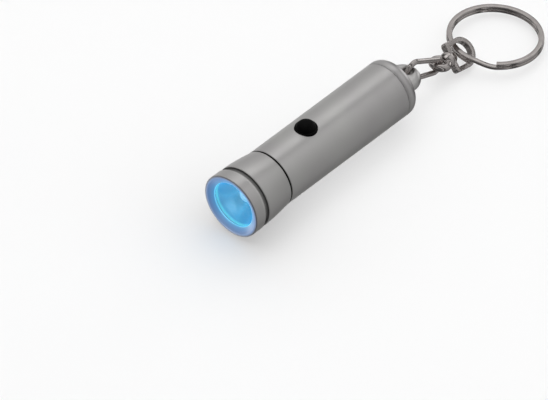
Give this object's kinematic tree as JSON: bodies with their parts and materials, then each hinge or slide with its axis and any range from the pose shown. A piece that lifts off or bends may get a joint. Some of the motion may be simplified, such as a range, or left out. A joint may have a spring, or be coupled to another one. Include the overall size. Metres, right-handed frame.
{
  "type": "keychain flashlight",
  "caption": "Slim cylindrical metal torch with a flared screw-off head, side push button and tail lug, carried on a link, swivel and split ring.",
  "frame": {"origin": "on the torch's axis, at the centre of the bezel's outer band", "axes": "+X runs back along the torch to the key ring and the lamp shines along -X; +Z is the side with the button"},
  "size_m": [0.1101, 0.0249, 0.0195],
  "materials": {
    "body_metal": "satin silver lacquer over metal",
    "nickel": "polished nickel plate",
    "rubber": "smooth black rubber",
    "lens": "clear polished plastic, lit blue from behind",
    "reflector": "bright metallised dish, lit blue",
    "led": "clear epoxy, lit blue",
    "circuit_board": "green solder mask",
    "black_plastic": "fine matte",
    "holder_plastic": "moulded off-white plastic",
    "steel": "bright drawn steel",
    "sleeve_metal": "turned and threaded",
    "brass": "stamped brass"
  },
  "bodies": {
    "torch": {"tube": "body_metal", "tail_cap": "body_metal", "threaded_sleeve": "sleeve_metal", "head_seal": "rubber", "switch_housing": "black_plastic", "switch_dome": "steel", "switch_board": "circuit_board", "battery_holder": "holder_plastic", "battery_contact": "brass", "cell_1": "steel", "cell_2": "steel", "cell_3": "steel", "tail_spring": "steel", "spring_plate": "brass", "front_spring": "steel"},
    "lamp": {"led": "led", "led_leads": "steel", "led_board": "circuit_board", "resistor": "black_plastic"},
    "head": {"head_shell": "body_metal", "bezel_ring": "body_metal", "lens": "lens", "reflector": "reflector"},
    "push_button": {"button": "rubber", "switch_plunger": "black_plastic"},
    "link": {"chain_link": "nickel"},
    "eye": {"swivel_eye": "nickel"},
    "bracket": {"swivel_bracket": "nickel"},
    "key_ring": {"split_ring": "nickel"}
  },
  "joints": [
    {"name": "lamp_slide", "type": "slide", "parent": "torch", "child": "lamp", "axis": [-1, 0, 0], "range_m": [0, 0.004], "deforming": ["front_spring"]},
    {"name": "head_turn", "type": "hinge", "parent": "lamp", "child": "head", "pos_m": [0, 0, 0], "axis": [1, 0, 0], "range_deg": [0, 1800]},
    {"name": "button_press", "type": "slide", "parent": "torch", "child": "push_button", "axis": [0, 0, -1], "range_m": [0, 0.0005], "stiffness_N_per_m": 2000},
    {"name": "link_swing", "type": "hinge", "parent": "torch", "child": "link", "pos_m": [0.06655, 0, 0], "axis": [0, 1, 0], "range_deg": [-110, 60]},
    {"name": "eye_swing", "type": "hinge", "parent": "link", "child": "eye", "pos_m": [0.07663, 0, -0.0044], "axis": [0.2079, 0, 0.9781], "range_deg": [-60, 60]},
    {"name": "bracket_swivel", "type": "hinge", "parent": "eye", "child": "bracket", "pos_m": [0.07663, 0, -0.0044], "axis": [0.9781, 0, -0.2079], "continuous": true},
    {"name": "ring_flap", "type": "hinge", "parent": "bracket", "child": "key_ring", "pos_m": [0.08395, -0.00175, -0.00587], "axis": [0.2588, 0.9659, 0], "range_deg": [-90, 20]}
  ],
  "couplings": [
    {"joint": "lamp_slide", "follows": "head_turn", "m_per_rad": 0.00012732}
  ]
}
